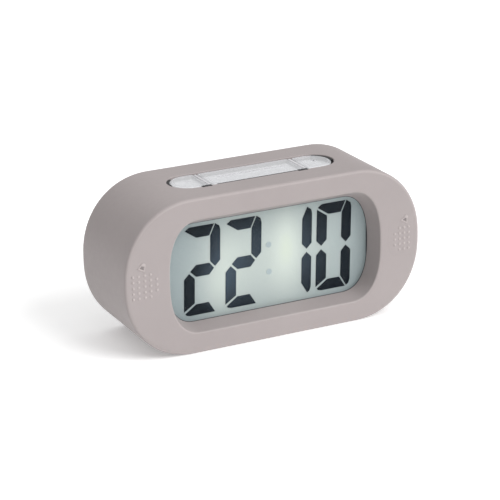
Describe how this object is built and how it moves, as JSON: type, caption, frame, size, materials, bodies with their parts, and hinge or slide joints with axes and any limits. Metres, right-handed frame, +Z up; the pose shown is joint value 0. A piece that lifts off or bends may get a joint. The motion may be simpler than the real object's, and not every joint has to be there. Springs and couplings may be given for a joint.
{
  "type": "digital alarm clock",
  "caption": "Free-standing digital alarm clock: a rounded oblong silicone sleeve over a hard case, a recessed liquid crystal display and a bar of clear push keys on top.",
  "frame": {"origin": "on the surface that the clock stands on, under the middle of the clock", "axes": "+Z up, +X to the viewer's right along the long side, -Y towards the viewer: the display faces -Y"},
  "size_m": [0.14, 0.046, 0.0685],
  "materials": {
    "sleeve_silicone": "matte, soft-touch moulded silicone, taupe grey",
    "case_plastic": "fine-textured moulded ABS",
    "inner_white_plastic": "plain moulded plastic",
    "ribbon_cable": "satin",
    "clear_lens": "clear polished acrylic",
    "lcd_glass": "polished glass with polariser",
    "white_film": "matt film",
    "light_guide": "polished with a fine dot pattern",
    "led_strip": "satin",
    "contact_rubber": "matt, layered",
    "circuit_board": "green solder mask",
    "black_epoxy": "cast epoxy",
    "steel_can": "drawn sheet metal",
    "key_clear": "clear polished plastic",
    "key_white": "satin moulded plastic",
    "contact_steel": "nickel-plated spring steel",
    "battery_wrap": "shrink sleeve, plain",
    "red_wire": "PVC insulation",
    "black_wire": "PVC insulation",
    "black_plastic": "fine-textured moulded plastic",
    "switch_plastic": "moulded plastic",
    "brass": "plain disc",
    "screw_steel": "zinc-plated"
  },
  "bodies": {
    "root": {"silicone_sleeve": "sleeve_silicone", "front_shell": "case_plastic", "rear_shell": "case_plastic", "display_frame": "black_plastic", "key_ribbon": "ribbon_cable", "window_lens": "clear_lens", "lcd_front_glass": "lcd_glass", "lcd_rear_glass": "lcd_glass", "diffuser_film": "white_film", "reflector_sheet": "white_film", "light_guide": "light_guide", "backlight_led_strip": "led_strip", "zebra_strip": "contact_rubber", "main_circuit_board": "circuit_board", "key_circuit_board": "circuit_board", "control_board": "circuit_board", "left_pad_board": "circuit_board", "right_pad_board": "circuit_board", "controller_blob": "black_epoxy", "timing_crystal": "steel_can", "positive_contact": "contact_steel", "negative_contact": "contact_steel", "left_link_contact": "contact_steel", "right_link_contact": "contact_steel", "battery_1": "battery_wrap", "battery_2": "battery_wrap", "battery_3": "battery_wrap", "positive_lead": "red_wire", "negative_lead": "black_wire", "alarm_slide_switch": "steel_can", "light_slide_switch": "steel_can", "buzzer_cup": "black_plastic", "buzzer_disc": "brass", "left_key_switch": "switch_plastic", "middle_key_switch": "switch_plastic", "right_key_switch": "switch_plastic", "left_pad_switch": "switch_plastic", "right_pad_switch": "switch_plastic", "set_button_switch": "switch_plastic", "reset_button_switch": "switch_plastic", "case_screw_1": "screw_steel", "case_screw_2": "screw_steel", "case_screw_3": "screw_steel", "case_screw_4": "screw_steel"},
    "left_key": {"left_key_cap": "key_clear", "left_key_base": "key_white"},
    "middle_key": {"middle_key_cap": "key_clear", "middle_key_base": "key_white"},
    "right_key": {"right_key_cap": "key_clear", "right_key_base": "key_white"},
    "left_pad": {"left_press_pad": "sleeve_silicone", "left_pad_plunger": "inner_white_plastic"},
    "right_pad": {"right_press_pad": "sleeve_silicone", "right_pad_plunger": "inner_white_plastic"},
    "alarm_slider": {"alarm_slider": "black_plastic"},
    "light_slider": {"light_slider": "black_plastic"},
    "set_button": {"set_button": "black_plastic"},
    "reset_button": {"reset_button": "black_plastic"},
    "battery_door": {"battery_door": "case_plastic"}
  },
  "joints": [
    {"name": "left_key_press", "type": "slide", "parent": "root", "child": "left_key", "axis": [0, 0, -1], "range_m": [0, 0.001], "stiffness_N_per_m": 1500, "springref_m": -0.0004},
    {"name": "middle_key_press", "type": "slide", "parent": "root", "child": "middle_key", "axis": [0, 0, -1], "range_m": [0, 0.001], "stiffness_N_per_m": 1500, "springref_m": -0.0004},
    {"name": "right_key_press", "type": "slide", "parent": "root", "child": "right_key", "axis": [0, 0, -1], "range_m": [0, 0.001], "stiffness_N_per_m": 1500, "springref_m": -0.0004},
    {"name": "left_pad_press", "type": "slide", "parent": "root", "child": "left_pad", "axis": [0, 1, 0], "range_m": [0, 0.0006], "stiffness_N_per_m": 1500, "springref_m": -0.0004},
    {"name": "right_pad_press", "type": "slide", "parent": "root", "child": "right_pad", "axis": [0, 1, 0], "range_m": [0, 0.0006], "stiffness_N_per_m": 1500, "springref_m": -0.0004},
    {"name": "alarm_slide", "type": "slide", "parent": "root", "child": "alarm_slider", "axis": [1, 0, 0], "range_m": [-0.002, 0.002]},
    {"name": "light_slide", "type": "slide", "parent": "root", "child": "light_slider", "axis": [1, 0, 0], "range_m": [-0.002, 0.002]},
    {"name": "set_button_press", "type": "slide", "parent": "root", "child": "set_button", "axis": [0, -1, 0], "range_m": [0, 0.0008], "stiffness_N_per_m": 1500, "springref_m": -0.0004},
    {"name": "reset_button_press", "type": "slide", "parent": "root", "child": "reset_button", "axis": [0, -1, 0], "range_m": [0, 0.0008], "stiffness_N_per_m": 1500, "springref_m": -0.0004},
    {"name": "battery_door_hinge", "type": "hinge", "parent": "root", "child": "battery_door", "pos_m": [0, 0.0227, 0.0124], "axis": [-1, 0, 0], "range_deg": [0, 75]}
  ]
}
